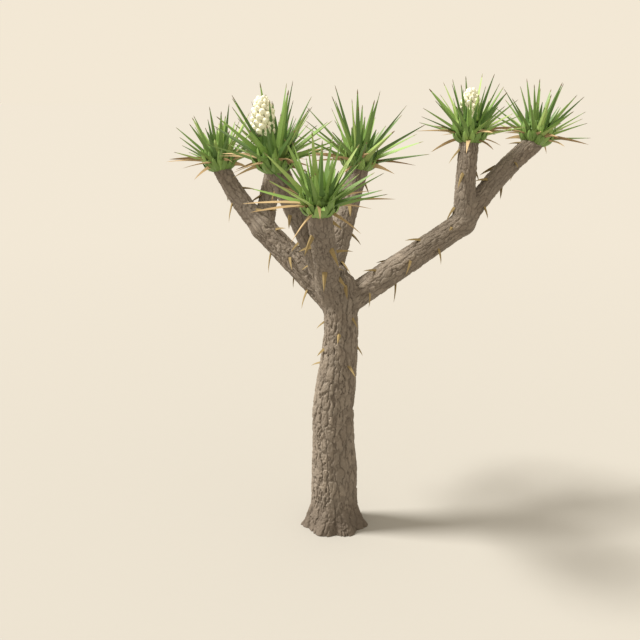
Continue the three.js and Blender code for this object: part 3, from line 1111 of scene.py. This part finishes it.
class Nodes:
    """Short ways to build a node material."""

    def __init__(self, name):
        self.material = bpy.data.materials.new(name)
        self.material.use_nodes = True
        self.tree = self.material.node_tree
        self.shader = self.tree.nodes["Principled BSDF"]

    def set_socket(self, socket, value):
        if isinstance(value, bpy.types.NodeSocket):
            self.tree.links.new(value, socket)
        else:
            socket.default_value = value

    def add(self, kind, inputs=(), **settings):
        node = self.tree.nodes.new("ShaderNode" + kind)
        for key, value in settings.items():
            setattr(node, key, value)
        for key, value in dict(inputs).items():
            self.set_socket(node.inputs[key], value)
        return node

    def noise(self, place, scale, detail, roughness):
        wanted = {"Vector": place, "Scale": scale, "Detail": detail, "Roughness": roughness}
        return self.add("TexNoise", wanted).outputs["Fac"]

    def span(self, value, low, high, to_low, to_high):
        wanted = {"Value": value, "From Min": low, "From Max": high, "To Min": to_low, "To Max": to_high}
        return self.add("MapRange", wanted).outputs["Result"]

    def mix(self, share, one, other):
        node = self.add("Mix", data_type="RGBA")
        for key, value in (("Factor", share), ("A", one), ("B", other)):
            socket = [s for s in node.inputs if s.name == key and s.enabled][0]
            self.set_socket(socket, (*value, 1) if isinstance(value, tuple) else value)
        return [s for s in node.outputs if s.enabled][0]

    def stored(self, name, output="Fac"):
        return self.add("Attribute", attribute_name=name).outputs[output]

    def place(self):
        return self.add("TexCoord").outputs["Object"]

    def bump(self, height, strength, distance):
        wanted = {"Height": height, "Strength": strength, "Distance": distance}
        return self.add("Bump", wanted).outputs["Normal"]

    def finish(self, **inputs):
        for key, value in inputs.items():
            self.set_socket(self.shader.inputs[key.replace("_", " ")], value)
        return self.material


DARK_PLATE = (0.201, 0.164, 0.129)
LIGHT_PLATE = (0.345, 0.291, 0.236)
GREY_MOTTLE = (0.248, 0.223, 0.190)
FIBRE_SHADOW = (0.145, 0.117, 0.091)
# the furrows' own dark colour, which also paints the shade that falls in them
FURROW_COLOUR_AND_SHADE = (0.088, 0.069, 0.054)
FOOT_COLOUR = (0.104, 0.082, 0.064)
FOOT_HEIGHTS = (0.08, 0.26)  # where the foot's colour fades out


def bark_material():
    """Grey-brown plates over furrows darkened by their own colour and by painted shade, fibrous, and
    darker at the foot.
    """
    n = Nodes("bark")
    furrow = n.stored("furrow")
    shade = n.stored("plate_shade")
    grain = n.stored("grain_place", "Vector")
    fibre = n.noise(grain, 190, 5, 0.6)
    mottle = n.noise(n.place(), 9, 5, 0.6)
    plate = n.mix(n.span(shade, 0.1, 0.9, 0, 1), DARK_PLATE, LIGHT_PLATE)
    plate = n.mix(n.span(mottle, 0.35, 0.7, 0, 0.5), plate, GREY_MOTTLE)
    plate = n.mix(n.span(fibre, 0.3, 0.75, 0.5, 0), plate, FIBRE_SHADOW)
    # furrows darkened with their own colour and with painted shade
    colour = n.mix(n.span(furrow, 0.25, 1.0, 0, 0.75), plate, FURROW_COLOUR_AND_SHADE)
    height = n.add("SeparateXYZ", {"Vector": n.place()}).outputs["Z"]
    colour = n.mix(n.span(height, *FOOT_HEIGHTS, 0.7, 0), colour, FOOT_COLOUR)
    rough = n.span(fibre, 0.2, 0.8, 0.95, 0.8)
    normal = n.bump(fibre, 0.7, 0.004)
    return n.finish(Base_Color=colour, Roughness=rough, Normal=normal, Specular_IOR_Level=0.25)


# Surfaces of one colour: scale, detail and roughness of the noise in them, least and greatest
# roughness of the surface, strength and height of its relief, and specular level.
SURFACES = {
    "waxy": (160, 3, 0.5, 0.42, 0.62, 0.25, 0.0010, 0.40),
    "papery": (120, 4, 0.6, 0.70, 0.92, 0.40, 0.0015, 0.25),
    "petal": (220, 3, 0.5, 0.45, 0.60, 0.20, 0.0008, 0.50),
}


def surface(name, colour, kind):
    """A plain colour with fine uneven gloss and faint relief: waxy, papery or petal."""
    scale, detail, roughness, least, most, strength, height, specular = SURFACES[kind]
    n = Nodes(name)
    streak = n.noise(n.place(), scale, detail, roughness)
    rough = n.span(streak, 0.3, 0.7, least, most)
    normal = n.bump(streak, strength, height)
    colour = (*colour, 1)
    return n.finish(Base_Color=colour, Roughness=rough, Normal=normal, Specular_IOR_Level=specular)


# ---- camera, light and floor ----

CAMERA_PLACE = (-0.0969, -5.579, 2.942)
CAMERA_PITCH = math.radians(75)
LENS = 50
SUN_ENERGY = 5.6
SUN_ANGLE = math.radians(15)
SUN_COLOUR = (1.0, 0.965, 0.90)
SUN_HEIGHT = math.radians(52)
SUN_TURN = math.radians(-2)  # the light travels toward +X, turned by this
BACKGROUND = (0.895, 0.807, 0.665)
FLOOR_SIZE = 120.0  # from its middle to its sides
FLOOR_DROP = 0.0005  # how far it lies below the cut foot
FLOOR_NEAR = (0.374, 0.361, 0.336)
FLOOR_FAR = (0.388, 0.373, 0.347)
FLOOR_FADE = (2.0, 12.0)  # where its colour changes


def make_camera():
    data = bpy.data.cameras.new("camera")
    data.lens = LENS
    data.sensor_width = 36
    camera = new_object("camera", data)
    camera.location = CAMERA_PLACE
    camera.rotation_euler = (CAMERA_PITCH, 0, 0)
    bpy.context.scene.camera = camera


def make_sun():
    """A broad soft key light from the left, high up."""
    data = bpy.data.lights.new("key", "SUN")
    data.energy = SUN_ENERGY
    data.angle = SUN_ANGLE
    data.color = SUN_COLOUR
    level = math.cos(SUN_HEIGHT)
    toward = Vector((level * math.cos(SUN_TURN), level * math.sin(SUN_TURN), -math.sin(SUN_HEIGHT)))
    key = new_object("key", data)
    key.rotation_euler = toward.to_track_quat("-Z", "Y").to_euler()


def make_studio():
    """The same warm light from all round, which is also the backdrop."""
    world = bpy.data.worlds.new("studio")
    bpy.context.scene.world = world
    world.use_nodes = True
    world.node_tree.nodes["Background"].inputs["Color"].default_value = (*BACKGROUND, 1)


def make_floor():
    """A wide pale floor, a little darker round the tree than far away."""
    corners = np.array([[-1, -1, 0], [1, -1, 0], [1, 1, 0], [-1, 1, 0]]) * FLOOR_SIZE
    floor = mesh_object("floor", corners - [0, 0, FLOOR_DROP], [[0, 1, 2, 3]])
    n = Nodes("floor")
    away = n.add("VectorMath", {0: n.place()}, operation="LENGTH").outputs["Value"]
    colour = n.mix(n.span(away, *FLOOR_FADE, 0, 1), FLOOR_NEAR, FLOOR_FAR)
    floor.data.materials.append(n.finish(Base_Color=colour, Roughness=1.0, Specular_IOR_Level=0.0))


limbs = read_limbs()
heads = [Head(limbs[name]) for name in STEMS]
make_camera()
make_sun()
make_studio()
make_floor()
make_wood()
make_hearts()
make_live_leaves()
make_dry_leaves()
make_stubs()
make_blossom()
bpy.context.scene.view_settings.view_transform = "Standard"
